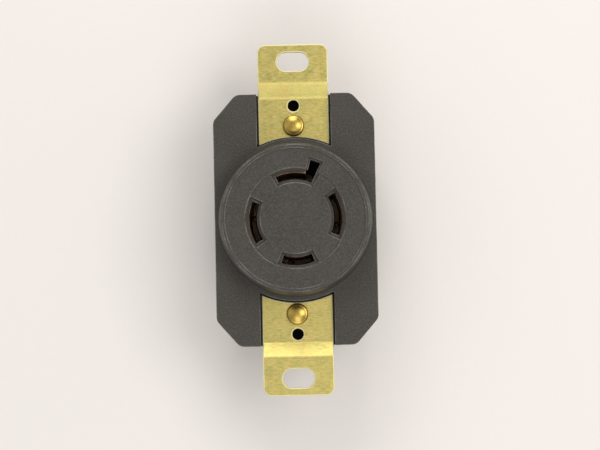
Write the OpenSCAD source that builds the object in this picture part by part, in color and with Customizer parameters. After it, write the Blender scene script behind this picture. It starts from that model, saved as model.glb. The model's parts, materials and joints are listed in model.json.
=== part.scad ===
// Flush-mounted locking receptacle for four wires. Two rivets hold the face cover, the
// rear housing and the two brass mounting ears together. Inside, a carrier holds four
// curved jaws for the plug's blades. Each jaw has a strap, a screw and a clamp plate,
// which grips a wire pushed in from the back.
// The origin is on the boss axis, in the plane of the ears' and the flange's front faces.
// +Z points out of the face and +Y towards the ground slot. Lengths are in millimetres.

/* [Flange] */
// Width of the octagonal flange
flange_w = 42.45; // [42:0.05:43]
// Length of the octagonal flange
flange_l = 66.3; // [65.5:0.1:67]
// Thickness of the flange
flange_t = 7; // [6.8:0.1:7.2]
// Corner cut, measured along the width
corner_x = 6; // [5:0.1:7]
// Corner cut, measured along the length
corner_y = 6.9; // [6:0.1:8]
// Radius of the flange's vertices
corner_r = 2.6; // [1.5:0.1:3]

/* [Boss] */
// Height of the boss above the flange
boss_h = 8; // [7.8:0.1:8.5]
// Radius of the boss at its rim
boss_top_r = 19.4; // [19.2:0.05:19.6]
// Radius of the boss at its foot, wider by the moulding draft
boss_foot_r = 20.3; // [20.1:0.05:20.5]
// Width of the raised rim
rim_w = 1.45; // [1.2:0.05:1.8]
// Depth of the ring inside the rim
face_drop = 0.3; // [0.2:0.05:0.5]
// Radius of the middle disc
disc_r = 13.05; // [13.02:0.01:13.1]
// Depth of the middle disc below the ring
disc_drop = 0.2; // [0.1:0.05:0.3]
// Thickness of the web that the plug locks behind
web_t = 3; // [2.8:0.1:3.2]

/* [Blade slots] */
// Inner radius of the slots' throats
throat_in_r = 10; // [9.9:0.01:10.1]
// Outer radius of the slots' throats
throat_out_r = 12.17; // [12.1:0.01:12.2]
// Width and depth of the lead-in round each slot
lead_in = 0.8; // [0.6:0.05:0.8]
// Ground slot, start angle from +X
ground_from = 64.5; // [64:0.5:65]
// Ground slot, end angle
ground_to = 114.7; // [114:0.1:115]
// Hot X slot, start angle
hot_x_from = 157.4; // [157:0.1:158]
// Hot X slot, end angle
hot_x_to = 212; // [211.5:0.1:212.5]
// Neutral slot, start angle
neutral_from = 251.4; // [251:0.1:252]
// Neutral slot, end angle
neutral_to = 293; // [292.5:0.1:293.5]
// Hot Y slot, start angle
hot_y_from = -23; // [-23.5:0.1:-22.5]
// Hot Y slot, end angle
hot_y_to = 32; // [31.5:0.1:32.5]
// Outer radius of the hook on the ground slot
hook_r = 15.6; // [15.4:0.1:15.7]
// Angle that the hook spans
hook_span = 10; // [9:0.5:11]
// Turn that locks the plug
lock_turn = 20; // [18:0.5:20]

/* [Mounting ears] */
// Width of an ear
ear_w = 18.65; // [18.4:0.05:18.9]
// Thickness of the brass sheet
ear_t = 1.2; // [1:0.05:1.25]
// Overall length, from one ear's end to the other's
ear_span = 92.4; // [92:0.1:93]
// Radius of the ears' outer corners
ear_r = 2.2; // [1.5:0.1:3]
// Radius of the arc at an ear's inner end
ear_arc_r = 21.8; // [21.7:0.05:21.9]
// Step between an ear's inner and outer levels
joggle = 2.1; // [2:0.05:2.2]
// Distance from the centre to the start of the step
joggle_from = 32.1; // [31.9:0.1:32.3]
// Distance from the centre to the end of the step
joggle_to = 36.1; // [35.8:0.1:36.5]
// Distance between the mounting slots
slot_spacing = 83.3; // [83:0.1:83.6]
// Length of a mounting slot, across the ear
slot_l = 8.35; // [8:0.05:8.6]
// Width of a mounting slot
slot_w = 4.95; // [4.7:0.05:5.1]
// Distance between the two cover-plate screw holes
plate_spacing = 60.33; // [60.2:0.01:60.4]
// Diameter of a cover-plate screw hole
plate_d = 3; // [2.9:0.05:3.1]

/* [Rivets] */
// Distance between the two rivets
rivet_spacing = 49.7; // [49.5:0.1:49.9]
// Diameter of a rivet's shank
rivet_d = 3.2; // [3:0.1:3.3]
// Diameter of a rivet's domed head
head_d = 5.7; // [5.5:0.1:5.9]
// Height of a rivet's domed head
head_h = 1.7; // [1.5:0.1:1.9]
// Diameter of a rivet washer
washer_d = 6.2; // [5.8:0.1:6.3]
// Thickness of a rivet washer
washer_t = 0.8; // [0.6:0.1:1]

/* [Rear housing] */
// Depth from the ears' front faces to the back
body_depth = 32; // [31.5:0.5:33]
// Width of the block behind the flange
body_w = 41.2; // [41:0.1:41.4]
// Length of the block behind the flange
body_l = 43; // [42.5:0.1:43]
// Radius of the block's upright edges
body_r = 2.5; // [1.5:0.1:3]
// Thickness of the shoulders that the rivets clamp
shoulder_t = 6; // [5.5:0.1:6.2]
// Thickness of the back wall
floor_t = 2; // [1.8:0.1:2.4]

/* [Terminals] */
// Distance from the centre line to a terminal screw
screw_y = 10.5; // [10.4:0.1:10.6]
// Depth of the terminal screws behind the ears' front faces
screw_depth = 22; // [21.8:0.1:22.4]
// Outside diameter of the screw thread
thread_d = 4.16; // [4.1:0.02:4.2]
// Diameter of a screw head
screw_head_d = 8; // [7.6:0.1:8.2]
// Thickness of a screw head
screw_head_h = 2.4; // [2.2:0.1:2.5]
// Gap for the wire, with the clamp open
wire_gap = 4.5; // [4.4:0.05:4.6]
// Thickness of a clamp plate
clamp_t = 2.4; // [2.2:0.1:2.5]
// Width of a clamp plate
clamp_w = 14.1; // [13.8:0.1:14.2]
// Height of a clamp plate
clamp_h = 10; // [9:0.1:10]

/* [Colours] */
// Moulded parts
moulding_colour = "#3a3638"; // ["#3a3638", "#f2efe6"]
// Ears, bridge and hot screws
brass_colour = "#c9b968"; // ["#c9b968", "#c8c8c4"]
// Rivets and washers
rivet_colour = "#d2a63c"; // ["#d2a63c", "#c8c8c4"]
// Jaws and straps
contact_colour = "#9c6a4c"; // ["#9c6a4c", "#c9b968"]
// Ground screw
ground_colour = "#3c6b45"; // ["#3c6b45", "#2f7d46"]
// Neutral screw
neutral_colour = "#c9c9c6"; // ["#c9c9c6", "#b5b5b0"]

/* [Hidden] */
$fn = 72;

// How far a cutting shape runs past the face it cuts
over = 1;
// Gap between moulded parts, and between loose metal and mouldings
play = 0.3;
// Radial gap of a shaft or shank that fits its hole
fit_gap = 0.05;

// Flange outline
slant = atan2(corner_x, corner_y);
side_arc_y = flange_l / 2 - corner_y - corner_r * tan(slant / 2);
end_arc_x = flange_w / 2 - corner_x - corner_r * tan((90 - slant) / 2);
corner_steps = 4;

// Boss
rim_in_r = boss_top_r - rim_w;
rim_edge = 0.35;
foot_fillet = 0.3;
web_z = boss_h - face_drop - disc_drop - web_t;
lead_under = 0.15;
hook_lead = 0.5;
hook_blend = 0.9;
well_r = 16.6;

// Ears and rivets
rivet_y = rivet_spacing / 2;
plate_y = plate_spacing / 2;
ear_in_z = -joggle;
ear_slope = atan2(joggle, joggle_to - joggle_from);
bend_shift = ear_t * tan(ear_slope / 2);
channel_gap = 0.4;
hole_gap = 0.1;
plate_clear_d = 3.6;
plate_clear_depth = 3;
dome_steps = 8;
clinch_d = 4.8;
clinch_h = 0.9;
clinch_dimple = 0.5;
shoulder_z = -flange_t - shoulder_t;
shoulder_inset = 0.35;

// Carrier, jaws and straps
core_gap = 0.4;
core_r = well_r - core_gap;
core_top = web_z - play;
carrier_w = 37.4;
carrier_l = 38.8;
carrier_top = -flange_t - fit_gap;
carrier_base = -14.5;
strap_t = 1.2;
blade_r = (throat_in_r + throat_out_r) / 2;
blade_gap = 1.4;
jaw_t = 0.8;
jaw_in_r = blade_r - blade_gap / 2 - jaw_t;
jaw_out_r = blade_r + blade_gap / 2 + jaw_t;
jaw_flare = 0.35;
jaw_lip_h = 1.2;
jaw_drop = 2.6;
jaw_top = core_top - jaw_drop;
pocket_in_r = 9;
pocket_out_r = 13.2;
pocket_margin = 1.5;
leaf_margin = 2;
stake_r = 0.6;

// Terminals
strap_in_x = 15;
strap_out_x = strap_in_x + strap_t;
strap_w = 12;
strap_low_z = -27.5;
strap_hole_d = 4.6;
foot_low_z = carrier_base - strap_t;
clamp_in_x = strap_in_x - wire_gap - clamp_t;
screw_end_gap = 0.2;
screw_end_x = clamp_in_x - screw_end_gap;
screw_seat_x = strap_out_x + fit_gap;
chamber_wall_t = 1.7;
chamber_in_x = 7;
chamber_out_x = body_w / 2 - chamber_wall_t;
chamber_w = clamp_w + 2 * (play + fit_gap);
window_r = 4.8;
groove_w = 0.5;
groove_step = 1.6;
groove_reach = 2;

// The straps' feet, each given by its low and high corners in plan: one under a jaw at an
// end of the body, and one under a jaw at a side
end_foot = [[-2.6, 7.5], [strap_out_x, 14.5]];
side_foot = [[8, -16.5], [strap_out_x, 2]];

// How far each terminal screw's slot is turned, as the screws were left
ground_screw_turn = 20;
neutral_screw_turn = -35;
hot_x_screw_turn = 65;
hot_y_screw_turn = -10;

// Wire entries
entry_x = [10.6, 14.9];
entry_y = [12.9, 17.6];
funnel = 0.6;

// Bridge
ring_in_r = 16.5;
ring_out_r = 18;
bridge_t = 0.8;
bridge_low_z = carrier_top - bridge_t;
bridge_tab_w = 5;
eyelet_r = 3.2;
recess_low_z = bridge_low_z - fit_gap;

// Outline of the flange, drawn inwards by inset, with round vertices
function arc_points(centre, r, from, to) =
    [for (i = [0:corner_steps]) centre + r * [
        cos(from + (to - from) * i / corner_steps),
        sin(from + (to - from) * i / corner_steps)
    ]];

function quarter_points(inset) = concat(
    arc_points([flange_w / 2 - corner_r, side_arc_y], corner_r - inset, 0, slant),
    arc_points([end_arc_x, flange_l / 2 - corner_r], corner_r - inset, slant, 90)
);

function turned(points, x, y) = [for (p = points) [x * p.x, y * p.y]];

function backwards(points) = [for (i = [len(points) - 1:-1:0]) points[i]];

function outline_points(inset) = let (quarter = quarter_points(inset)) concat(
    quarter,
    backwards(turned(quarter, -1, 1)),
    turned(quarter, -1, -1),
    backwards(turned(quarter, 1, -1))
);

module flange_slab(inset, low, high) {
    translate([0, 0, low])
        linear_extrude(high - low)
            polygon(outline_points(inset));
}

module rounded_rect(w, l, r) {
    square([w - 2 * r, l], center = true);
    square([w, l - 2 * r], center = true);
    for (x = [-1, 1], y = [-1, 1])
        translate([x * (w / 2 - r), y * (l / 2 - r)])
            circle(r);
}

// A block given by its low and high corners
module span(low, high) {
    translate(low)
        cube(high - low);
}

module drill(r, x, y, low, high) {
    translate([x, y, low])
        cylinder(r = r, h = high - low);
}

// Part of a ring between two radii and two angles
module sector(r_in, r_out, from, to, low, high) {
    rotate([0, 0, from])
        rotate_extrude(angle = to - from)
            translate([r_in, low])
                square([r_out - r_in, high - low]);
}

// The child drawn at +Y, and again turned half round
module both_ends() {
    children();
    rotate([0, 0, 180])
        children();
}

// The child drawn in the +X +Y quarter, and mirrored into the other three
module four_quarters() {
    for (x = [0, 1], y = [0, 1])
        mirror([x, 0, 0])
            mirror([0, y, 0])
                children();
}

module boss() {
    foot = boss_foot_r + foot_fillet;
    rotate_extrude()
        polygon([
            [0, -over],
            [foot, -over],
            [foot, 0],
            [boss_foot_r, foot_fillet],
            [boss_top_r, boss_h - rim_edge],
            [boss_top_r - rim_edge, boss_h],
            [rim_in_r + face_drop, boss_h],
            [rim_in_r, boss_h - face_drop],
            [disc_r, boss_h - face_drop],
            [disc_r, boss_h - face_drop - disc_drop],
            [0, boss_h - face_drop - disc_drop]
        ]);
}

// One blade slot: the throat through the web, and a lead-in that widens towards the face.
// The lead-in's floor is a little narrower than the throat, so that its slopes cut the
// throat's walls cleanly.
module blade_slot(from, to) {
    lead_angle = lead_in / blade_r * 180 / PI;
    disc_z = boss_h - face_drop - disc_drop;
    floor_z = disc_z - lead_in - lead_under;
    sector(throat_in_r, throat_out_r, from, to, web_z - over, boss_h + over);
    rotate([0, 0, from - lead_angle])
        rotate_extrude(angle = to - from + 2 * lead_angle)
            polygon([
                [throat_in_r + lead_under, floor_z],
                [throat_out_r - lead_under, floor_z],
                [throat_out_r + lead_in, disc_z],
                [throat_out_r + lead_in, boss_h + over],
                [throat_in_r - lead_in, boss_h + over],
                [throat_in_r - lead_in, disc_z]
            ]);
}

module blade_slots() {
    blade_slot(ground_from, ground_to);
    blade_slot(hot_x_from, hot_x_to);
    blade_slot(neutral_from, neutral_to);
    blade_slot(hot_y_from, hot_y_to);
    hook();
}

// The hook on the ground slot, with its own lead-in, and a slant where it meets the throat
module hook() {
    to = ground_from + hook_span;
    disc_z = boss_h - face_drop - disc_drop;
    lead_angle = hook_lead / hook_r * 180 / PI;
    blend_angle = hook_blend / throat_out_r * 180 / PI;
    sector(blade_r, hook_r, ground_from, to, web_z - over, boss_h + over);
    sector(
        blade_r, hook_r + hook_lead,
        ground_from - lead_angle, to + lead_angle,
        disc_z - hook_lead, boss_h + over
    );
    translate([0, 0, web_z - over])
        linear_extrude(boss_h + 2 * over - web_z)
            polygon([
                (throat_out_r - lead_under) * [cos(to - blend_angle), sin(to - blend_angle)],
                (throat_out_r + hook_blend) * [cos(to - lead_angle), sin(to - lead_angle)],
                (throat_out_r + hook_blend) * [cos(to), sin(to)],
                (throat_out_r - lead_under) * [cos(to + blend_angle), sin(to + blend_angle)]
            ]);
}

// The channel that an ear lies in, ending in an arc just inside the ear's own
module ear_channel() {
    half_w = ear_w / 2 + channel_gap;
    difference() {
        span([-half_w, 0, ear_in_z - ear_t], [half_w, flange_l / 2 + over, over]);
        drill(ear_arc_r - channel_gap, 0, 0, -flange_t - over, 2 * over);
    }
}

module face_cover() {
    color(moulding_colour)
        difference() {
            union() {
                flange_slab(0, -flange_t, 0);
                boss();
            }
            drill(well_r, 0, 0, -flange_t - over, web_z);
            blade_slots();
            both_ends() {
                ear_channel();
                drill(rivet_d / 2 + hole_gap, 0, rivet_y, -flange_t - over, 0);
                drill(plate_clear_d / 2, 0, plate_y, -flange_t - over, 0);
            }
        }
}

module body_block() {
    translate([0, 0, -body_depth])
        linear_extrude(body_depth - flange_t)
            rounded_rect(body_w, body_l, body_r);
}

// The space for one terminal's strap, clamp plate and screw, with its window and wire entry
module terminal_space() {
    wall_x = chamber_out_x - over;
    out_x = body_w / 2 + over;
    span(
        [chamber_in_x, screw_y - chamber_w / 2, floor_t - body_depth],
        [chamber_out_x, screw_y + chamber_w / 2, foot_low_z + over]
    );
    span([wall_x, screw_y - window_r, -screw_depth], [out_x, screw_y + window_r, over - flange_t]);
    translate([wall_x, screw_y, -screw_depth])
        rotate([0, 90, 0])
            cylinder(r = window_r, h = out_x - wall_x);
    span(
        [entry_x[0], entry_y[0], -body_depth - over],
        [entry_x[1], entry_y[1], floor_t - body_depth + over]
    );
    span(
        [entry_x[0] - funnel, entry_y[0] - funnel, -body_depth - over],
        [entry_x[1] + funnel, entry_y[1] + funnel, funnel - body_depth]
    );
}

module carrier_space() {
    gap_w = carrier_w + 2 * play;
    gap_l = carrier_l + 2 * play;
    span([-gap_w / 2, -gap_l / 2, foot_low_z], [gap_w / 2, gap_l / 2, over - flange_t]);
}

// Room for a bridge tab and its eyelet in the top of the housing
module eyelet_recess() {
    half_w = bridge_tab_w / 2 + play;
    span([-half_w, carrier_l / 2, recess_low_z], [half_w, rivet_y, over - flange_t]);
    drill(eyelet_r + play, 0, rivet_y, recess_low_z, over - flange_t);
}

// A shallow panel in the middle of the back
module back_panel() {
    panel_w = 12;
    panel_l = 30;
    panel_drop = 0.6;
    translate([0, 0, -body_depth - over])
        linear_extrude(panel_drop + over)
            rounded_rect(panel_w, panel_l, body_r);
}

module rear_housing() {
    color(moulding_colour)
        difference() {
            union() {
                flange_slab(shoulder_inset, shoulder_z, -flange_t);
                body_block();
            }
            carrier_space();
            four_quarters() terminal_space();
            back_panel();
            both_ends() {
                eyelet_recess();
                drill(rivet_d / 2 + hole_gap, 0, rivet_y, shoulder_z - over, over - flange_t);
                drill(plate_clear_d / 2, 0, plate_y, -flange_t - plate_clear_depth, over - flange_t);
            }
        }
}

// The pocket for one jaw, with room for the blade to turn behind the web
module jaw_pocket(from, to) {
    sector(
        pocket_in_r, pocket_out_r,
        from - lock_turn - pocket_margin, to + pocket_margin,
        carrier_base - over, core_top + over
    );
}

module contact_carrier() {
    half_tab = bridge_tab_w / 2 + play;
    color(moulding_colour)
        difference() {
            union() {
                translate([0, 0, carrier_base])
                    linear_extrude(carrier_top - carrier_base)
                        rounded_rect(carrier_w, carrier_l, over);
                drill(core_r, 0, 0, carrier_base, core_top);
            }
            jaw_pocket(ground_from, ground_to);
            jaw_pocket(hot_x_from, hot_x_to);
            jaw_pocket(neutral_from, neutral_to);
            jaw_pocket(hot_y_from, hot_y_to);
            sector(
                blade_r, hook_r + play,
                ground_from - lock_turn - pocket_margin, ground_from + hook_span + pocket_margin,
                recess_low_z - over, core_top + over
            );
            difference() {
                drill(ring_out_r + play, 0, 0, recess_low_z, over - flange_t);
                drill(core_r, 0, 0, recess_low_z - over, core_top);
            }
            both_ends()
                span([-half_tab, core_r, recess_low_z], [half_tab, carrier_l, over - flange_t]);
            span([-half_tab, blade_r, recess_low_z], [half_tab, core_r + over, core_top + over]);
        }
}

module mounting_ear() {
    end_y = ear_span / 2;
    slot_y = slot_spacing / 2;
    half_slot = (slot_l - slot_w) / 2;
    back_shift = [bend_shift, -ear_t];
    intersection() {
        rotate([90, 0, 90])
            translate([0, 0, -ear_w / 2])
                linear_extrude(ear_w)
                    polygon([
                        [0, ear_in_z],
                        [joggle_from, ear_in_z],
                        [joggle_to, 0],
                        [end_y, 0],
                        [end_y, -ear_t],
                        [joggle_to, 0] + back_shift,
                        [joggle_from, ear_in_z] + back_shift,
                        [0, ear_in_z - ear_t]
                    ]);
        translate([0, 0, -flange_t])
            linear_extrude(flange_t + over)
                difference() {
                    rounded_rect(ear_w, ear_span, ear_r);
                    circle(ear_arc_r);
                    translate([0, rivet_y])
                        circle(rivet_d / 2 + fit_gap);
                    translate([0, plate_y])
                        circle(plate_d / 2);
                    translate([0, slot_y])
                        square([2 * half_slot, slot_w], center = true);
                    for (x = [-half_slot, half_slot])
                        translate([x, slot_y])
                            circle(slot_w / 2);
                }
    }
}

module upper_mounting_ear() {
    color(brass_colour)
        mounting_ear();
}

module lower_mounting_ear() {
    color(brass_colour)
        rotate([0, 0, 180])
            mounting_ear();
}

// A rivet with a domed head in front and a clinched, dimpled end behind
module rivet() {
    shank_r = rivet_d / 2;
    clinch_z = shoulder_z - washer_t - clinch_h;
    dome = [for (i = [0:dome_steps])
        [head_d / 2 * cos(90 * i / dome_steps), ear_in_z + head_h * sin(90 * i / dome_steps)]];
    translate([0, rivet_y, 0])
        rotate_extrude()
            polygon(concat(
                [
                    [0, clinch_z + clinch_dimple],
                    [shank_r - clinch_dimple, clinch_z],
                    [clinch_d / 2 - clinch_dimple, clinch_z],
                    [clinch_d / 2, clinch_z + clinch_h],
                    [shank_r, clinch_z + clinch_h],
                    [shank_r, ear_in_z]
                ],
                dome
            ));
}

module upper_rivet() {
    color(rivet_colour)
        rivet();
}

module lower_rivet() {
    color(rivet_colour)
        rotate([0, 0, 180])
            rivet();
}

module rivet_washer() {
    difference() {
        drill(washer_d / 2, 0, rivet_y, shoulder_z - washer_t, shoulder_z);
        drill(rivet_d / 2 + fit_gap, 0, rivet_y, shoulder_z - washer_t - over, shoulder_z + over);
    }
}

module upper_rivet_washer() {
    color(rivet_colour)
        rivet_washer();
}

module lower_rivet_washer() {
    color(rivet_colour)
        rotate([0, 0, 180])
            rivet_washer();
}

// The ring round the carrier's core, with a tab to each rivet and one to the ground jaw
module ground_bridge() {
    half_w = bridge_tab_w / 2;
    color(brass_colour) {
        difference() {
            union() {
                drill(ring_out_r, 0, 0, bridge_low_z, carrier_top);
                both_ends() {
                    span([-half_w, ring_in_r, bridge_low_z], [half_w, rivet_y, carrier_top]);
                    drill(eyelet_r, 0, rivet_y, bridge_low_z, carrier_top);
                }
            }
            drill(ring_in_r, 0, 0, bridge_low_z - over, carrier_top + over);
            both_ends()
                drill(rivet_d / 2 + fit_gap, 0, rivet_y, bridge_low_z - over, carrier_top + over);
        }
        difference() {
            span([-half_w, blade_r, bridge_low_z], [half_w, ring_in_r + jaw_t, carrier_top]);
            drill(jaw_out_r, 0, 0, bridge_low_z - over, carrier_top + over);
        }
    }
}

// A jaw: two curved leaves on one base, with lips that flare to guide the blade
module jaw(from, to) {
    lip_z = jaw_top - jaw_lip_h;
    inner_face_r = jaw_in_r + jaw_t;
    outer_face_r = jaw_out_r - jaw_t;
    middle = (from - lock_turn + to) / 2;
    color(contact_colour)
        difference() {
            rotate([0, 0, from - lock_turn])
                rotate_extrude(angle = to - from + lock_turn)
                    polygon([
                        [jaw_in_r, carrier_base],
                        [jaw_out_r, carrier_base],
                        [jaw_out_r, lip_z],
                        [jaw_out_r + jaw_flare, jaw_top],
                        [outer_face_r + jaw_flare, jaw_top],
                        [outer_face_r, lip_z],
                        [outer_face_r, carrier_base + jaw_t],
                        [inner_face_r, carrier_base + jaw_t],
                        [inner_face_r, lip_z],
                        [inner_face_r - jaw_flare, jaw_top],
                        [jaw_in_r - jaw_flare, jaw_top],
                        [jaw_in_r, lip_z]
                    ]);
            rotate([0, 0, middle])
                drill(stake_r + fit_gap, blade_r, 0, carrier_base - over, carrier_base + jaw_t + over);
        }
}

// The outer leaf stops short of the hook, which passes it on the way in and as the plug turns
module ground_jaw() {
    color(contact_colour)
        difference() {
            jaw(ground_from, ground_to);
            sector(
                blade_r, hook_r,
                ground_from - lock_turn - leaf_margin, ground_from + hook_span + leaf_margin,
                carrier_base + jaw_t, jaw_top + over
            );
        }
}

module neutral_jaw() {
    jaw(neutral_from, neutral_to);
}

module hot_x_jaw() {
    jaw(hot_x_from, hot_x_to);
}

module hot_y_jaw() {
    jaw(hot_y_from, hot_y_to);
}

// A strap: a foot under its jaw, a plate for the terminal screw beside it, and the stake
// that holds the jaw. foot gives the foot's low and high corners in plan.
module strap(from, to, foot, side) {
    middle = (from - lock_turn + to) / 2;
    plate_mid_y = side * screw_y;
    color(contact_colour) {
        span([foot[0].x, foot[0].y, foot_low_z], [strap_out_x, foot[1].y, carrier_base]);
        difference() {
            span(
                [strap_in_x, plate_mid_y - strap_w / 2, strap_low_z],
                [strap_out_x, plate_mid_y + strap_w / 2, carrier_base]
            );
            translate([strap_in_x - over, plate_mid_y, -screw_depth])
                rotate([0, 90, 0])
                    cylinder(d = strap_hole_d, h = strap_t + 2 * over);
        }
        rotate([0, 0, middle])
            drill(stake_r, blade_r, 0, carrier_base - strap_t / 2, carrier_base + jaw_t + stake_r / 2);
    }
}

module ground_strap() {
    strap(ground_from, ground_to, end_foot, 1);
}

module neutral_strap() {
    rotate([0, 0, 180])
        strap(neutral_from - 180, neutral_to - 180, end_foot, 1);
}

module hot_y_strap() {
    strap(hot_y_from, hot_y_to, side_foot, -1);
}

module hot_x_strap() {
    rotate([0, 0, 180])
        strap(hot_x_from - 180, hot_x_to - 180, side_foot, -1);
}

// Places a terminal piece in the quarter that x and y give by their signs
module at_terminal(x, y) {
    mirror([x < 0 ? 1 : 0, 0, 0])
        translate([0, y * screw_y, -screw_depth])
            children();
}

// A terminal screw along +X, its slot turned by turn
module terminal_screw(turn, screw_colour) {
    head_r = screw_head_d / 2;
    head_edge = 0.5;
    slot_half_w = 0.55;
    slot_depth = 1.2;
    cross_half_l = 2.4;
    end_taper = 0.6;
    shank_r = thread_d / 2;
    shank_l = screw_seat_x - screw_end_x;
    top = shank_l + screw_head_h;
    color(screw_colour)
        translate([screw_end_x, 0, 0])
            rotate([turn, 0, 0])
                rotate([0, 90, 0])
                    difference() {
                        rotate_extrude()
                            polygon([
                                [0, 0],
                                [shank_r - end_taper, 0],
                                [shank_r, end_taper],
                                [shank_r, shank_l],
                                [head_r, shank_l],
                                [head_r, top - head_edge],
                                [head_r - head_edge, top],
                                [0, top]
                            ]);
                        span(
                            [-slot_half_w, -head_r - over, top - slot_depth],
                            [slot_half_w, head_r + over, top + over]
                        );
                        span(
                            [-cross_half_l, -slot_half_w, top - slot_depth],
                            [cross_half_l, slot_half_w, top + over]
                        );
                    }
}

module ground_screw() {
    at_terminal(1, 1)
        terminal_screw(ground_screw_turn, ground_colour);
}

module neutral_screw() {
    at_terminal(-1, -1)
        terminal_screw(neutral_screw_turn, neutral_colour);
}

module hot_x_screw() {
    at_terminal(-1, 1)
        terminal_screw(hot_x_screw_turn, brass_colour);
}

module hot_y_screw() {
    at_terminal(1, -1)
        terminal_screw(hot_y_screw_turn, brass_colour);
}

// A clamp plate with gripping grooves on its wire side, bored for the screw
module clamp_plate() {
    face_x = clamp_in_x + clamp_t;
    color(contact_colour)
        difference() {
            span([clamp_in_x, -clamp_w / 2, -clamp_h / 2], [face_x, clamp_w / 2, clamp_h / 2]);
            translate([clamp_in_x - over, 0, 0])
                rotate([0, 90, 0])
                    cylinder(r = thread_d / 2 + fit_gap, h = clamp_t + 2 * over);
            for (i = [-groove_reach:groove_reach])
                translate([face_x, 0, i * groove_step])
                    rotate([0, 45, 0])
                        cube([groove_w, clamp_w + 2 * over, groove_w], center = true);
        }
}

module ground_clamp() {
    at_terminal(1, 1)
        clamp_plate();
}

module neutral_clamp() {
    at_terminal(-1, -1)
        clamp_plate();
}

module hot_x_clamp() {
    at_terminal(-1, 1)
        clamp_plate();
}

module hot_y_clamp() {
    at_terminal(1, -1)
        clamp_plate();
}

face_cover();
rear_housing();
contact_carrier();
upper_mounting_ear();
lower_mounting_ear();
upper_rivet();
lower_rivet();
upper_rivet_washer();
lower_rivet_washer();
ground_bridge();
ground_jaw();
neutral_jaw();
hot_x_jaw();
hot_y_jaw();
ground_strap();
neutral_strap();
hot_x_strap();
hot_y_strap();
ground_screw();
neutral_screw();
hot_x_screw();
hot_y_screw();
ground_clamp();
neutral_clamp();
hot_x_clamp();
hot_y_clamp();
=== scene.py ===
import json
import math

import bmesh
import bpy
from mathutils import Matrix, Vector


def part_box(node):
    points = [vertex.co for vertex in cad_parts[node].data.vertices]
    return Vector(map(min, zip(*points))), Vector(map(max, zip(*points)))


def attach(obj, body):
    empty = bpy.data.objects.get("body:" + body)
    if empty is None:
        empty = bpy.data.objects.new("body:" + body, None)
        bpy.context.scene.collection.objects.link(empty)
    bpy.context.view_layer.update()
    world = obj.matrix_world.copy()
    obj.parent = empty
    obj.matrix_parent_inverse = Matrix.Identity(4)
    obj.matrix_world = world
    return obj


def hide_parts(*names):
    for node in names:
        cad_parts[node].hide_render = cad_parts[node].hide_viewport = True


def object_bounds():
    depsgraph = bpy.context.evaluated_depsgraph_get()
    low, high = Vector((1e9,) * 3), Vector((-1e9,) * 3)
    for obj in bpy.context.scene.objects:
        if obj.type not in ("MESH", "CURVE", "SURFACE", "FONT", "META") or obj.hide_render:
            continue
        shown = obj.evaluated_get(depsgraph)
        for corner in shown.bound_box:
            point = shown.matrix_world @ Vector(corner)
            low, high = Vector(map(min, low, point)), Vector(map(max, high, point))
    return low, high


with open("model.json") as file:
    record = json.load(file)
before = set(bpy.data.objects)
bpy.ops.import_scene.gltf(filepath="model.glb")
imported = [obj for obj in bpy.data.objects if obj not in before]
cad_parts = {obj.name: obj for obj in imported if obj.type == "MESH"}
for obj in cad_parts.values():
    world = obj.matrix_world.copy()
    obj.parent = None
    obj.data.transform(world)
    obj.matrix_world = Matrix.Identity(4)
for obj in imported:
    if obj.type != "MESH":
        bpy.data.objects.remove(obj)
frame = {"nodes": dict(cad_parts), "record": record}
cadLow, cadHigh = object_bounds()
mm = 0.001
scene = bpy.context.scene


# helpers for node trees; their sizes are in millimetres
wholeRange = (0.0, 1.0)
noiseRange = (0.3, 0.7)  # most of a noise's values lie in here


def startMaterial(name):
    material = bpy.data.materials.new(name)
    material.use_nodes = True
    tree = material.node_tree
    shader = tree.nodes["Principled BSDF"]
    place = tree.nodes.new("ShaderNodeTexCoord").outputs["Object"]
    return material, tree, shader, place


def stretched(tree, place, stretch):
    # squeezes the pattern's space, so that grain runs along the axis with the small number
    mapping = tree.nodes.new("ShaderNodeMapping")
    mapping.inputs["Scale"].default_value = stretch
    tree.links.new(place, mapping.inputs["Vector"])
    return mapping.outputs["Vector"]


def grain(tree, place, size, detail=3.0, roughness=0.5, distortion=0.0):
    noise = tree.nodes.new("ShaderNodeTexNoise")
    noise.inputs["Scale"].default_value = 1 / (size * mm)
    noise.inputs["Detail"].default_value = detail
    noise.inputs["Roughness"].default_value = roughness
    noise.inputs["Distortion"].default_value = distortion
    tree.links.new(place, noise.inputs["Vector"])
    return noise.outputs["Fac"]


def cells(tree, place, size):
    voronoi = tree.nodes.new("ShaderNodeTexVoronoi")
    voronoi.inputs["Scale"].default_value = 1 / (size * mm)
    tree.links.new(place, voronoi.inputs["Vector"])
    return voronoi.outputs["Distance"]


def spread(tree, value, fromRange, toRange):
    mapRange = tree.nodes.new("ShaderNodeMapRange")
    for socket, number in zip(("From Min", "From Max", "To Min", "To Max"), (*fromRange, *toRange)):
        mapRange.inputs[socket].default_value = number
    tree.links.new(value, mapRange.inputs["Value"])
    return mapRange.outputs["Result"]


def combined(tree, first, second, operation):
    # first is the output of a node, and second is another output or a plain number
    node = tree.nodes.new("ShaderNodeMath")
    node.operation = operation
    node.use_clamp = operation == "ADD"
    tree.links.new(first, node.inputs[0])
    if isinstance(second, (int, float)):
        node.inputs[1].default_value = second
    else:
        tree.links.new(second, node.inputs[1])
    return node.outputs["Value"]


def blended(tree, factor, first, second):
    # first and second are either colours or the outputs of other nodes
    mix = tree.nodes.new("ShaderNodeMix")
    mix.data_type = "RGBA"
    tree.links.new(factor, mix.inputs["Factor"])
    for socket, colour in ((mix.inputs[6], first), (mix.inputs[7], second)):
        if isinstance(colour, (tuple, list)):
            socket.default_value = (*colour, 1.0)
        else:
            tree.links.new(colour, socket)
    return mix.outputs[2]


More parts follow.
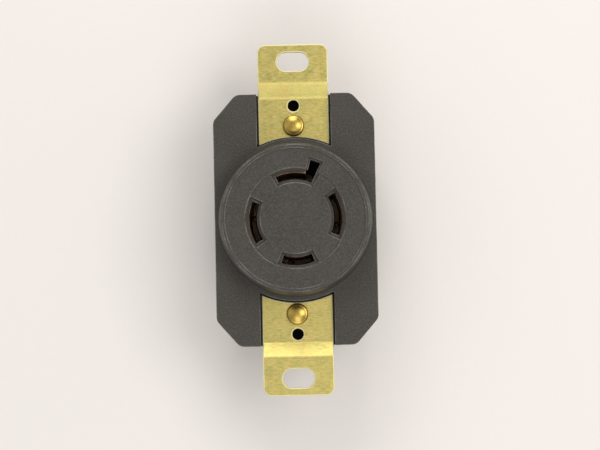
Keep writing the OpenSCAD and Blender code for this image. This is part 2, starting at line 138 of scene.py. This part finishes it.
def relief(tree, height, strength, depth, under=None):
    bump = tree.nodes.new("ShaderNodeBump")
    bump.inputs["Strength"].default_value = strength
    bump.inputs["Distance"].default_value = depth * mm
    tree.links.new(height, bump.inputs["Height"])
    if under is not None:
        tree.links.new(under, bump.inputs["Normal"])
    return bump.outputs["Normal"]


def edges(tree):
    # 1 on sharply rounded outer edges, as markRounding leaves them, and 0 on flats and in corners
    rounded = tree.nodes.new("ShaderNodeAttribute")
    rounded.attribute_name = "rounded"
    return rounded.outputs["Fac"]


# what all mouldings share: where the speckle and the stretches of worn edge with painted highlight begin,
# and how deep the grain is
mouldingGrain = {
    "detail": 4.0, "roughness": 0.6, "speckleRange": (0.4, 0.66), "rubAndHighlightRange": (0.38, 0.62),
    "rubAndHighlightShare": (0.15, 1.0), "rubAndHighlightDetail": 2.0, "leastWearAndHighlight": 0.3, "glossier": 0.06, "duller": 0.07,
    "reliefDepth": 0.03}


def moulding(name, look):
    shared = mouldingGrain
    material, tree, shader, place = startMaterial(name)
    spark = grain(tree, place, look["grainSize"], shared["detail"], shared["roughness"])
    cloud = grain(tree, place, look["cloudSize"])
    shade = blended(tree, spread(tree, cloud, noiseRange, wholeRange), look["dark"], look["light"])
    speckle = spread(tree, spark, shared["speckleRange"], (0.0, look["speckle"]))
    shade = blended(tree, speckle, shade, look["dust"])
    # worn edges with painted highlight: the rounded edges are lightened in stretches, partly as wear and
    # partly as the lamps' glint on them
    wear = spread(tree, spark, noiseRange, (look["wear"] * shared["leastWearAndHighlight"], look["wear"]))
    rubbedAndHighlight = combined(tree, edges(tree), wear, "MULTIPLY")
    rubAndHighlightNoise = grain(tree, place, look["rubAndHighlightSize"], shared["rubAndHighlightDetail"])
    stretch = spread(tree, rubAndHighlightNoise, shared["rubAndHighlightRange"], shared["rubAndHighlightShare"])
    rubbedAndHighlight = combined(tree, rubbedAndHighlight, stretch, "MULTIPLY")
    shade = blended(tree, rubbedAndHighlight, shade, look["rubbedAndHighlightColour"])
    tree.links.new(shade, shader.inputs["Base Color"])
    glossRange = (look["roughness"] - shared["glossier"], look["roughness"] + shared["duller"])
    tree.links.new(spread(tree, spark, noiseRange, glossRange), shader.inputs["Roughness"])
    shader.inputs["Specular IOR Level"].default_value = look["shine"]
    pebble = relief(tree, cells(tree, place, look["pebbleSize"]), look["pebble"], shared["reliefDepth"])
    normal = relief(tree, spark, look["bump"], shared["reliefDepth"], pebble)
    tree.links.new(normal, shader.inputs["Normal"])
    return material


# what all the metals share: how the rolled lines, the patches and the tarnish are laid over each other
metalGrain = {
    "rolledDetail": 4.0, "rolledRoughness": 0.55, "patchDetail": 4.0, "patchRoughness": 0.6,
    "patchDistortion": 0.6, "fineDetail": 3.0, "fineRoughness": 0.6, "patchRange": (0.34, 0.66),
    "lineRange": (0.3, 0.72), "tarnishRange": (0.56, 0.72), "patchDulling": (-0.03, 0.05),
    "scratchDepth": 0.012, "dimpleDepth": 0.01}


def brass(name, look):
    shared = metalGrain
    material, tree, shader, place = startMaterial(name)
    shader.inputs["Metallic"].default_value = 1.0
    along = stretched(tree, place, look["rolling"])
    rolled = grain(tree, along, look["lineSize"], shared["rolledDetail"], shared["rolledRoughness"])
    patch = grain(tree, place, look["patchSize"], shared["patchDetail"], shared["patchRoughness"],
                  shared["patchDistortion"])
    fine = grain(tree, place, look["fineSize"], shared["fineDetail"], shared["fineRoughness"])
    shade = blended(tree, spread(tree, patch, shared["patchRange"], wholeRange), look["green"], look["gold"])
    lines = spread(tree, rolled, shared["lineRange"], (0.0, look["lines"]))
    shade = blended(tree, lines, shade, look["pale"])
    tarnish = spread(tree, fine, shared["tarnishRange"], (0.0, look["tarnish"]))
    shade = blended(tree, tarnish, shade, look["brown"])
    # painted highlight: the rounded edges are mixed towards a pale colour that stands in for the lamps'
    # glint on them
    paintedHighlight = combined(tree, edges(tree), look["paintedHighlightAmount"], "MULTIPLY")
    shade = blended(tree, paintedHighlight, shade, look["worn"])
    tree.links.new(shade, shader.inputs["Base Color"])
    satinRange = (look["roughness"] - look["satin"], look["roughness"] + look["satin"])
    dullness = spread(tree, rolled, noiseRange, satinRange)
    dullness = combined(tree, dullness, spread(tree, patch, noiseRange, shared["patchDulling"]), "ADD")
    edgeDullness = combined(tree, edges(tree), look["edgeDull"], "MULTIPLY")
    tree.links.new(combined(tree, dullness, edgeDullness, "ADD"), shader.inputs["Roughness"])
    scratches = relief(tree, rolled, look["bump"], shared["scratchDepth"])
    normal = relief(tree, fine, look["dimples"], shared["dimpleDepth"], scratches)
    tree.links.new(normal, shader.inputs["Normal"])
    return material


mouldings = {
    "face_moulding": {
        "dark": (0.0455, 0.0412, 0.0366), "light": (0.057, 0.0516, 0.0458), "dust": (0.123, 0.113, 0.0995),
        "rubbedAndHighlightColour": (0.30, 0.282, 0.252), "rubAndHighlightSize": 6.0, "speckle": 0.46, "grainSize": 0.46,
        "cloudSize": 9.0, "pebbleSize": 0.34, "pebble": 0.16, "bump": 0.34, "roughness": 0.52,
        "shine": 0.22, "wear": 1.0},
    "body_moulding": {
        "dark": (0.034, 0.0305, 0.0275), "light": (0.042, 0.0380, 0.0345), "dust": (0.085, 0.078, 0.070),
        "rubbedAndHighlightColour": (0.16, 0.151, 0.137), "rubAndHighlightSize": 6.0, "speckle": 0.28, "grainSize": 0.55,
        "cloudSize": 11.0, "pebbleSize": 0.5, "pebble": 0.14, "bump": 0.3, "roughness": 0.55,
        "shine": 0.22, "wear": 0.6}}

# each metal's pale colour for its rounded edges, with its amount, is a painted highlight
metals = {
    "ear_brass": {
        "green": (0.458, 0.414, 0.105), "gold": (0.585, 0.450, 0.125), "pale": (0.77, 0.69, 0.31),
        "brown": (0.34, 0.23, 0.06), "worn": (0.95, 0.90, 0.62), "rolling": (0.22, 1.0, 1.0),
        "lineSize": 0.3, "patchSize": 2.6, "fineSize": 0.30, "lines": 0.6, "tarnish": 0.7,
        "roughness": 0.40, "satin": 0.08, "bump": 0.2, "dimples": 0.5, "paintedHighlightAmount": 0.9, "edgeDull": 0.35},
    "rivet_brass": {
        "green": (0.475, 0.340, 0.075), "gold": (0.545, 0.380, 0.083), "pale": (0.80, 0.66, 0.29),
        "brown": (0.30, 0.18, 0.05), "worn": (0.90, 0.80, 0.45), "rolling": (1.0, 1.0, 0.3),
        "lineSize": 0.5, "patchSize": 2.0, "fineSize": 0.35, "lines": 0.16, "tarnish": 0.3,
        "roughness": 0.31, "satin": 0.05, "bump": 0.18, "dimples": 0.16, "paintedHighlightAmount": 0.4, "edgeDull": 0.2},
    # the contact brass's dark colours are partly dull bronze and partly painted shade for the depth of the
    # slots
    "contact_brass": {
        "green": (0.34, 0.22, 0.145), "gold": (0.41, 0.265, 0.17), "pale": (0.60, 0.46, 0.33),
        "brown": (0.17, 0.10, 0.065), "worn": (0.60, 0.46, 0.33), "rolling": (1.0, 1.0, 0.2),
        "lineSize": 0.4, "patchSize": 3.5, "fineSize": 0.5, "lines": 0.25, "tarnish": 0.5,
        "roughness": 0.46, "satin": 0.07, "bump": 0.25, "dimples": 0.2, "paintedHighlightAmount": 0.6, "edgeDull": 0.2},
    "clamp_brass": {
        "green": (0.44, 0.36, 0.13), "gold": (0.50, 0.38, 0.15), "pale": (0.72, 0.60, 0.30),
        "brown": (0.24, 0.15, 0.06), "worn": (0.72, 0.60, 0.30), "rolling": (1.0, 0.2, 1.0),
        "lineSize": 0.45, "patchSize": 3.5, "fineSize": 0.5, "lines": 0.25, "tarnish": 0.5,
        "roughness": 0.44, "satin": 0.08, "bump": 0.32, "dimples": 0.3, "paintedHighlightAmount": 0.6, "edgeDull": 0.2},
    "brass_screw": {
        "green": (0.60, 0.47, 0.16), "gold": (0.66, 0.49, 0.17), "pale": (0.85, 0.75, 0.42),
        "brown": (0.30, 0.19, 0.07), "worn": (0.85, 0.75, 0.42), "rolling": (0.3, 1.0, 1.0),
        "lineSize": 0.35, "patchSize": 2.5, "fineSize": 0.4, "lines": 0.25, "tarnish": 0.35,
        "roughness": 0.28, "satin": 0.06, "bump": 0.22, "dimples": 0.2, "paintedHighlightAmount": 0.6, "edgeDull": 0.2},
    "nickel_screw": {
        "green": (0.56, 0.55, 0.52), "gold": (0.62, 0.60, 0.56), "pale": (0.82, 0.81, 0.78),
        "brown": (0.30, 0.28, 0.25), "worn": (0.82, 0.81, 0.78), "rolling": (0.3, 1.0, 1.0),
        "lineSize": 0.35, "patchSize": 2.5, "fineSize": 0.4, "lines": 0.25, "tarnish": 0.3,
        "roughness": 0.27, "satin": 0.06, "bump": 0.22, "dimples": 0.2, "paintedHighlightAmount": 0.6, "edgeDull": 0.2},
    "green_screw": {
        "green": (0.035, 0.20, 0.075), "gold": (0.05, 0.25, 0.10), "pale": (0.30, 0.50, 0.30),
        "brown": (0.05, 0.12, 0.05), "worn": (0.30, 0.50, 0.30), "rolling": (0.3, 1.0, 1.0),
        "lineSize": 0.35, "patchSize": 2.5, "fineSize": 0.4, "lines": 0.18, "tarnish": 0.4,
        "roughness": 0.33, "satin": 0.06, "bump": 0.22, "dimples": 0.2, "paintedHighlightAmount": 0.7, "edgeDull": 0.2}}

finishes = {slot: moulding(slot, look) for slot, look in mouldings.items()}
finishes.update({slot: brass(slot, look) for slot, look in metals.items()})
print("finishes ready:", ", ".join(sorted(finishes)))


# helpers for meshes
slotOfNode = {part["node"]: part["material_slot"] for part in frame["record"]["subparts"]}
bodyOfNode = {}
for body, members in frame["record"]["behaviour"]["bodies"].items():
    for member in members:
        bodyOfNode[member] = body

rounding = {"sharpAngle": 32, "shadingWeight": 60, "fullTurn": 45}
cleaning = {"weldDistance": 0.002, "flatAngle": 0.6, "mostSides": 4}


def newPiece(name, mesh):
    piece = bpy.data.objects.new(name, mesh)
    scene.collection.objects.link(piece)
    return piece


def meshFrom(bm, name):
    bmesh.ops.recalc_face_normals(bm, faces=bm.faces)
    mesh = bpy.data.meshes.new(name)
    bm.to_mesh(mesh)
    bm.free()
    return mesh


def roundEdges(piece, width, segments, sharpAngle=rounding["sharpAngle"]):
    bevel = piece.modifiers.new("roundedEdges", "BEVEL")
    bevel.width = width * mm
    bevel.segments = segments
    bevel.limit_method = "ANGLE"
    bevel.angle_limit = math.radians(sharpAngle)
    bevel.use_clamp_overlap = False
    bevel.loop_slide = False
    bevel.miter_outer = "MITER_ARC"
    bevel.face_strength_mode = "FSTR_ALL"
    smoothPiece(piece, True)


def smoothPiece(piece, flatsLead=False):
    # flatsLead lets the flat faces, and not the rounding between them, set the shading
    piece.data.shade_smooth()
    weighted = piece.modifiers.new("evenShading", "WEIGHTED_NORMAL")
    weighted.weight = rounding["shadingWeight"]
    weighted.keep_sharp = False
    weighted.use_face_influence = flatsLead


def applied(piece):
    # bakes the modifiers into the piece's own mesh
    graph = bpy.context.evaluated_depsgraph_get()
    baked = bpy.data.meshes.new_from_object(piece.evaluated_get(graph))
    old = piece.data
    piece.modifiers.clear()
    piece.data = baked
    bpy.data.meshes.remove(old)


def markRounding(piece):
    # notes how sharply the rounding turns on each outer edge, for the finishes' worn edges and painted edge
    # highlights
    weights = piece.data.attributes["__mod_weightednormals_faceweight"]
    strengths = [face.value for face in weights.data]
    flat = max(strengths)
    fullTurn = math.radians(rounding["fullTurn"])
    bm = bmesh.new()
    bm.from_mesh(piece.data)
    turns = [sum(edge.calc_face_angle_signed(0) for edge in face.edges) for face in bm.faces]
    bm.free()
    rounded = piece.data.attributes.new("rounded", "FLOAT", "FACE")
    for strength, turn, mark in zip(strengths, turns, rounded.data):
        mark.value = 0.0 if strength == flat else min(1.0, max(0.0, turn / fullTurn))


def placeOn(piece, node):
    # stands for the CAD node: same body, and the finish of the node's slot
    slot = slotOfNode[node]
    piece.data.materials.clear()
    piece.data.materials.append(finishes[slot])
    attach(piece, bodyOfNode[node])
    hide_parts(node)


def cleanedCopy(node, name):
    # the node's own solid in one closed mesh, with whole faces in place of triangles where that works
    source = frame["nodes"][node].data
    mesh = bpy.data.meshes.new(name)
    mesh.from_pydata([v.co for v in source.vertices], [], [list(p.vertices) for p in source.polygons])
    bm = bmesh.new()
    bm.from_mesh(mesh)
    bpy.data.meshes.remove(mesh)
    bmesh.ops.remove_doubles(bm, verts=bm.verts, dist=cleaning["weldDistance"] * mm)
    flatAngle = math.radians(cleaning["flatAngle"])
    bmesh.ops.dissolve_limit(bm, angle_limit=flatAngle, verts=bm.verts, edges=bm.edges)
    manySided = [f for f in bm.faces if len(f.verts) > cleaning["mostSides"]]
    bmesh.ops.triangulate(bm, faces=manySided, quad_method="BEAUTY", ngon_method="BEAUTY")
    return newPiece(name, meshFrom(bm, name))


def ringOf(bm, points):
    return [bm.verts.new(p) for p in points]


def circleAt(radius, z, steps):
    # a circle about Z, with its radius and height in millimetres
    turns = [math.tau * i / steps for i in range(steps)]
    return [(radius * mm * math.cos(turn), radius * mm * math.sin(turn), z * mm) for turn in turns]


def bridged(bm, first, second):
    count = len(first)
    for i in range(count):
        bm.faces.new((first[i], first[(i + 1) % count], second[(i + 1) % count], second[i]))


def closedStack(bm, rings):
    # joins each ring to the next, and closes the first and the last
    for first, second in zip(rings, rings[1:]):
        bridged(bm, first, second)
    bm.faces.new(rings[0])
    bm.faces.new(rings[-1])


def turnedMesh(name, profile, steps):
    # a solid of revolution about Z from (radius, height) pairs, closed on the axis at both ends
    bm = bmesh.new()
    closedStack(bm, [ringOf(bm, circleAt(r, z, steps)) for r, z in profile])
    return meshFrom(bm, name)


def arc(cx, cy, radius, start, end, steps):
    turns = [math.radians(start + (end - start) * i / steps) for i in range(steps + 1)]
    return [(cx + radius * math.cos(turn), cy + radius * math.sin(turn)) for turn in turns]


# the moulded parts
mouldedParts = {
    "face_cover": {"name": "faceCover", "rounding": 0.16, "segments": 3},
    "rear_housing": {"name": "rearHousing", "rounding": 0.22, "segments": 3},
    "contact_carrier": {"name": "contactCarrier", "rounding": 0.12, "segments": 2}}


def buildFromNode(node, part):
    piece = cleanedCopy(node, part["name"])
    roundEdges(piece, part["rounding"], part["segments"])
    applied(piece)
    markRounding(piece)
    placeOn(piece, node)


for node, part in mouldedParts.items():
    buildFromNode(node, part)
print("mouldings built")


# the mounting ears: a flat blank with its holes, then the step pressed into it
earPart = {
    "thickness": 1.2, "arcRadius": 21.8, "cornerRadius": 2.2, "slotAt": 41.65, "slotLength": 8.35,
    "slotWidth": 4.95, "plateHoleAt": 30.165, "plateHole": 1.5, "rivetAt": 24.85, "rivetHole": 1.65,
    "stepFrom": 32.1, "stepTo": 36.1, "bend": 0.5, "edge": 0.3, "edgeSlope": 0.45, "edgeSegments": 4,
    "sharpAngle": 40, "ribsPerMm": 5, "flatAngle": 0.5, "cutTolerance": 1e-7,
    "arcSteps": 30, "cornerSteps": 10, "slotSteps": 24, "holeSteps": 40}


def earLoops(halfWidth, endY):
    part = earPart
    reach = math.degrees(math.acos(halfWidth / part["arcRadius"]))
    corner = part["cornerRadius"]
    outline = arc(0, 0, part["arcRadius"], 180 - reach, reach, part["arcSteps"])
    outline += arc(halfWidth - corner, endY - corner, corner, 0, 90, part["cornerSteps"])
    outline += arc(corner - halfWidth, endY - corner, corner, 90, 180, part["cornerSteps"])
    half = (part["slotLength"] - part["slotWidth"]) / 2
    slot = arc(half, part["slotAt"], part["slotWidth"] / 2, -90, 90, part["slotSteps"])
    slot += arc(-half, part["slotAt"], part["slotWidth"] / 2, 90, 270, part["slotSteps"])
    plate = arc(0, part["plateHoleAt"], part["plateHole"], 0, 360, part["holeSteps"])[:-1]
    rivet = arc(0, part["rivetAt"], part["rivetHole"], 0, 360, part["holeSteps"])[:-1]
    return [outline, slot, plate, rivet]


def plateMesh(name, loops, thickness):
    # an upright-sided plate from an outline and holes, its front face at z = 0
    bm = bmesh.new()
    rims = []
    for loop in loops:
        verts = ringOf(bm, [(x * mm, y * mm, 0) for x, y in loop])
        rims += [bm.edges.new((verts[i], verts[(i + 1) % len(verts)])) for i in range(len(verts))]
    front = bmesh.ops.triangle_fill(bm, edges=rims, use_beauty=True)["geom"]
    faces = [f for f in front if isinstance(f, bmesh.types.BMFace)]
    grown = bmesh.ops.extrude_face_region(bm, geom=faces)["geom"]
    moved = [v for v in grown if isinstance(v, bmesh.types.BMVert)]
    bmesh.ops.translate(bm, verts=moved, vec=(0, 0, -thickness))
    for f in faces:
        if f.is_valid:
            f.normal_flip()
    flatAngle = math.radians(earPart["flatAngle"])
    bmesh.ops.dissolve_limit(bm, angle_limit=flatAngle, verts=bm.verts, edges=bm.edges)
    return meshFrom(bm, name)


def stepHeight(y, low, high):
    # the front face's height and slope across the step, with both bends rounded
    part = earPart
    start, end, bend = part["stepFrom"], part["stepTo"], part["bend"]
    slope = (high - low) / (end - start)
    if y <= start - bend:
        return low, 0.0
    if y < start + bend:
        t = y - start + bend
        return low + slope * t * t / (4 * bend), slope * t / (2 * bend)
    if y <= end - bend:
        return low + slope * (y - start), slope
    if y < end + bend:
        t = end + bend - y
        return high - slope * t * t / (4 * bend), slope * t / (2 * bend)
    return high, 0.0


def ribbed(bm, first, last):
    # cuts the blank across at even steps, so that it can bend between first and last
    part = earPart
    for i in range(int((last - first) * part["ribsPerMm"]) + 1):
        y = (first + i / part["ribsPerMm"]) * mm
        everything = bm.verts[:] + bm.edges[:] + bm.faces[:]
        bmesh.ops.bisect_plane(
            bm, geom=everything, dist=part["cutTolerance"], plane_co=(0, y, 0), plane_no=(0, 1, 0))


def buildEar(node, name, side):
    part = earPart
    low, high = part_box(node)
    thickness = part["thickness"]
    halfWidth = (high.x - low.x) / 2 / mm
    endY = max(abs(low.y), abs(high.y)) / mm
    lowZ, highZ = low.z / mm + thickness, high.z / mm
    piece = newPiece(name, plateMesh(name, earLoops(halfWidth, endY), thickness * mm))
    roundEdges(piece, part["edge"], part["edgeSegments"], part["sharpAngle"])
    applied(piece)
    markRounding(piece)
    bm = bmesh.new()
    bm.from_mesh(piece.data)
    ribbed(bm, part["stepFrom"] - part["bend"] * 2, part["stepTo"] + part["bend"] * 2)
    roll = part["edge"] * mm
    for v in bm.verts:
        if -roll < v.co.z < 0:  # the front edges roll over gently, as a punch leaves them
            inwards = math.sqrt(max(0, roll * roll - (roll + v.co.z) ** 2))
            v.co.z = -inwards * part["edgeSlope"]
        height, slope = stepHeight(v.co.y / mm, lowZ, highZ)
        lean = math.hypot(1, slope)
        depth = v.co.z
        v.co.y -= depth * slope / lean
        v.co.z = height * mm + depth / lean
        if side < 0:
            v.co.x, v.co.y = -v.co.x, -v.co.y
    old = piece.data
    piece.data = meshFrom(bm, name)
    bpy.data.meshes.remove(old)
    smoothPiece(piece, True)
    placeOn(piece, node)


buildEar("upper_mounting_ear", "upperMountingEar", 1)
buildEar("lower_mounting_ear", "lowerMountingEar", -1)
print("mounting ears pressed")


# the rivets: domed heads in front, clinched over a washer behind
rivetPart = {
    "headRadius": 2.85, "headHeight": 1.7, "brim": 0.3, "domeRadius": 2.3, "domeHeight": 0.55,
    "domePower": 2.2, "shankRadius": 1.6, "clinchRadius": 2.4, "clinchRound": 0.45, "clinchHeight": 0.9,
    "hollow": 0.5, "hollowShape": ((0.35, 0.9), (0.7, 0.3), (1.0, 0.0)),  # shares of the radius and depth
    "rimRound": 0.08, "axisGap": 0.02, "clinchSteps": 5, "shoulderSteps": 8, "domeSteps": 12, "steps": 96}


def rivetProfile(top, bottom):
    part = rivetPart
    seat = top - part["headHeight"]
    neck = bottom + part["clinchHeight"]
    shank, curl, rim = part["shankRadius"], part["clinchRound"], part["rimRound"]
    profile = [(part["axisGap"], bottom + part["hollow"])]
    profile += [(shank * r, bottom + part["hollow"] * depth) for r, depth in part["hollowShape"]]
    profile += arc(part["clinchRadius"] - curl, bottom + curl, curl, -90, 0, part["clinchSteps"])
    profile += [(part["clinchRadius"], neck), (shank, neck), (shank, seat)]
    profile += [(part["headRadius"] - rim, seat), (part["headRadius"], seat + rim)]
    dome = part["domeRadius"]
    foot, shoulder = seat + part["brim"], top - part["domeHeight"]
    for i in range(part["shoulderSteps"]):  # the head's steep rim
        turn = math.pi / 2 * i / part["shoulderSteps"]
        r = dome + (part["headRadius"] - dome) * math.cos(turn)
        profile.append((r, foot + (shoulder - foot) * math.sin(turn)))
    for i in range(part["domeSteps"]):  # the shallow dome
        r = dome * (1 - i / part["domeSteps"])
        profile.append((r, top - part["domeHeight"] * (r / dome) ** part["domePower"]))
    return profile + [(part["axisGap"], top)]


def buildRivet(node, name):
    low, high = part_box(node)
    middle = (low + high) / 2
    piece = newPiece(name, turnedMesh(name, rivetProfile(high.z / mm, low.z / mm), rivetPart["steps"]))
    piece.location = (middle.x, middle.y, 0)
    smoothPiece(piece)
    placeOn(piece, node)


buildRivet("upper_rivet", "upperRivet")
buildRivet("lower_rivet", "lowerRivet")
print("rivets turned")


# the terminal screws: rolled thread, crowned head, slot and short cross
screwPart = {
    "pitch": 0.794, "threadDepth": 0.42, "threadRadius": 2.06, "shankLength": 8.35, "pointLength": 0.6,
    "pointTaper": 0.6, "runOut": 0.5, "crestSlope": 1.25, "rootWidth": 0.12, "collar": 0.25,
    "headRadius": 3.98, "headEdge": 0.55, "headUnder": 0.12, "crownSweep": 78, "crownSteps": 6,
    "crownShape": ((0.6, 0.02), (0.3, 0.005)),  # shares of the radius, and drops below the top
    "axisGap": 0.05, "slotWidth": 1.1, "slotDepth": 1.2, "crossReach": 2.4, "crossDrop": 0.01,
    "cutterSpare": 1, "steps": 64, "ringsPerPitch": 10}
screwTurns = {"ground_screw": 20, "neutral_screw": -35, "hot_x_screw": 65, "hot_y_screw": -10}


def threadRing(z):
    # one ring of points round the thread at height z
    part = screwPart
    length, pitch, major = part["shankLength"], part["pitch"], part["threadRadius"]
    taper = min(1.0, z / part["pointLength"])
    runOut = min(1.0, (length - z) / (part["runOut"] * pitch))
    ring = []
    for i in range(part["steps"]):
        turn = math.tau * i / part["steps"]
        wave = abs(((z / pitch - turn / math.tau) % 1) * 2 - 1)  # 1 on the crest, 0 in the root
        wave = max(0.0, min(1.0, wave * part["crestSlope"] - part["rootWidth"]))
        radius = major - part["threadDepth"] * (1 - wave * runOut)
        radius = min(radius, major - part["pointTaper"] * (1 - taper))
        ring.append((radius * mm * math.cos(turn), radius * mm * math.sin(turn), z * mm))
    return ring


def threadedMesh(name, headHeight):
    part = screwPart
    length = part["shankLength"]
    count = int(length / part["pitch"] * part["ringsPerPitch"])
    bm = bmesh.new()
    rings = [ringOf(bm, threadRing(length * k / count)) for k in range(count + 1)]
    head, edge, under = part["headRadius"], part["headEdge"], part["headUnder"]
    top = length + headHeight
    crown = [(part["threadRadius"] + part["collar"], length), (head - under, length), (head, length + under)]
    crown += arc(head - edge, top - edge, edge, 0, part["crownSweep"], part["crownSteps"])
    crown += [(head * r, top - drop) for r, drop in part["crownShape"]]
    crown.append((part["axisGap"], top))
    rings += [ringOf(bm, circleAt(radius, z, part["steps"])) for radius, z in crown]
    closedStack(bm, rings)
    return meshFrom(bm, name)


def boxMesh(name, low, high):
    bm = bmesh.new()
    corners = [bm.verts.new((x * mm, y * mm, z * mm)) for z in (low[2], high[2])
               for x, y in ((low[0], low[1]), (high[0], low[1]), (high[0], high[1]), (low[0], high[1]))]
    closedStack(bm, [corners[:4], corners[4:]])
    return meshFrom(bm, name)


def cutAway(piece, low, high):
    cutter = newPiece("cutter", boxMesh("cutter", low, high))
    cut = piece.modifiers.new("cut", "BOOLEAN")
    cut.operation = "DIFFERENCE"
    cut.solver = "EXACT"
    cut.object = cutter
    applied(piece)
    bpy.data.objects.remove(cutter)


def buildScrew(node, turn):
    part = screwPart
    low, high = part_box(node)
    side = 1 if high.x > 0 else -1
    words = node.split("_")
    name = words[0] + "".join(word.title() for word in words[1:])
    headHeight = (high.x - low.x) / mm - part["shankLength"]
    top = part["shankLength"] + headHeight
    piece = newPiece(name, threadedMesh(name, headHeight))
    half, reach, spare = part["slotWidth"] / 2, part["crossReach"], part["cutterSpare"]
    outside, floor = part["headRadius"] + spare, top - part["slotDepth"]
    cutAway(piece, (-half, -outside, floor), (half, outside, top + spare))
    cutAway(piece, (-reach, -half, floor - part["crossDrop"]), (reach, half, top + spare))
    along = Vector((side, 0, 0))
    across = Vector((0, math.cos(math.radians(turn)), math.sin(math.radians(turn))))
    matrix = Matrix((across.cross(along), across, along)).transposed().to_4x4()
    start = low.x if side > 0 else high.x
    matrix.translation = Vector((start, (low.y + high.y) / 2, (low.z + high.z) / 2))
    piece.data.transform(matrix)
    smoothPiece(piece)
    placeOn(piece, node)


for node, turn in screwTurns.items():
    buildScrew(node, turn)
print("terminal screws threaded")


# contacts, straps, clamps, bridge and washers
metalParts = {
    "ground_bridge": {"name": "groundBridge", "rounding": 0.08, "segments": 2},
    "upper_rivet_washer": {"name": "upperRivetWasher", "rounding": 0.12, "segments": 2},
    "lower_rivet_washer": {"name": "lowerRivetWasher", "rounding": 0.12, "segments": 2}}
labels = {"ground": "ground", "neutral": "neutral", "hot_x": "hotX", "hot_y": "hotY"}
for quarter, label in labels.items():
    metalParts[quarter + "_jaw"] = {"name": label + "Jaw", "rounding": 0.07, "segments": 2}
    metalParts[quarter + "_strap"] = {"name": label + "Strap", "rounding": 0.1, "segments": 2}
    metalParts[quarter + "_clamp"] = {"name": label + "Clamp", "rounding": 0.08, "segments": 2}

for node, part in metalParts.items():
    buildFromNode(node, part)
print("contacts and clamps finished")


# the studio: pale floor, soft light and camera
floorPart = {
    "size": 3.0, "cells": 8, "colour": (0.885, 0.845, 0.815), "darker": 0.985, "lighter": 1.01,
    "fibreSize": 1.6, "fibreDetail": 4.0, "fibreRoughness": 0.6, "dullness": (0.6, 0.7),
    "relief": 0.08, "reliefDepth": 0.03}


def buildFloor():
    part = floorPart
    bm = bmesh.new()
    bmesh.ops.create_grid(bm, x_segments=part["cells"], y_segments=part["cells"], size=part["size"] / 2)
    floor = newPiece("floor", meshFrom(bm, "floor"))
    floor.location.z = cadLow.z
    material, tree, shader, place = startMaterial("floorPaper")
    fibre = grain(tree, place, part["fibreSize"], part["fibreDetail"], part["fibreRoughness"])
    dark = tuple(c * part["darker"] for c in part["colour"])
    light = tuple(min(1, c * part["lighter"]) for c in part["colour"])
    tree.links.new(blended(tree, fibre, dark, light), shader.inputs["Base Color"])
    tree.links.new(spread(tree, fibre, noiseRange, part["dullness"]), shader.inputs["Roughness"])
    tree.links.new(relief(tree, fibre, part["relief"], part["reliefDepth"]), shader.inputs["Normal"])
    floor.data.materials.append(material)


# each soft box hangs at an angle around and above the part, that many metres away, and faces it
softBoxes = [
    {"around": 12, "up": 60, "away": 0.75, "size": 0.36, "watts": 1.6, "colour": (1.0, 0.98, 0.95)},
    {"around": 95, "up": 36, "away": 0.75, "size": 0.40, "watts": 2.0, "colour": (1.0, 0.98, 0.95)},
    {"around": -88, "up": 60, "away": 0.75, "size": 0.40, "watts": 0.85, "colour": (1.0, 0.99, 0.97)},
    {"around": -88, "up": 36, "away": 0.75, "size": 0.40, "watts": 0.5, "colour": (1.0, 0.99, 0.97)},
    {"around": 168, "up": 45, "away": 0.75, "size": 0.34, "watts": 0.15, "colour": (1.0, 0.99, 0.97)}]


def buildLamps():
    for number, box in enumerate(softBoxes):
        name = f"softBox{number}"
        lamp = bpy.data.lights.new(name, "AREA")
        lamp.shape = "SQUARE"
        lamp.size = box["size"]
        lamp.energy = box["watts"]
        lamp.color = box["colour"]
        around, up = math.radians(box["around"]), math.radians(box["up"])
        level = math.cos(up)
        spot = Vector((level * math.cos(around), level * math.sin(around), math.sin(up))) * box["away"]
        holder = bpy.data.objects.new(name, lamp)
        scene.collection.objects.link(holder)
        holder.location = spot
        holder.rotation_mode = "QUATERNION"
        holder.rotation_quaternion = (-spot).to_track_quat("-Z", "Y")


skyPart = {"colour": (1.0, 0.985, 0.965), "strength": 0.46}


def buildSky():
    world = bpy.data.worlds.new("studioSky")
    world.use_nodes = True
    background = world.node_tree.nodes["Background"]
    background.inputs["Color"].default_value = (*skyPart["colour"], 1.0)
    background.inputs["Strength"].default_value = skyPart["strength"]
    scene.world = world


cameraPart = {
    "at": (1.551, -21.347, 448.582), "turn": (2.529, 0.108, -1.192), "lens": 102.63, "sensor": 36,
    "nearest": 0.01, "furthest": 10}


def buildCamera():
    part = cameraPart
    camera = bpy.data.cameras.new("camera")
    camera.lens = part["lens"]
    camera.sensor_width = part["sensor"]
    camera.clip_start, camera.clip_end = part["nearest"], part["furthest"]
    holder = bpy.data.objects.new("camera", camera)
    scene.collection.objects.link(holder)
    holder.location = Vector(part["at"]) * mm
    holder.rotation_euler = [math.radians(turn) for turn in part["turn"]]
    scene.camera = holder


buildFloor()
buildLamps()
buildSky()
buildCamera()
scene.view_settings.view_transform = "Standard"
print("studio lit")

bpy.context.view_layer.update()
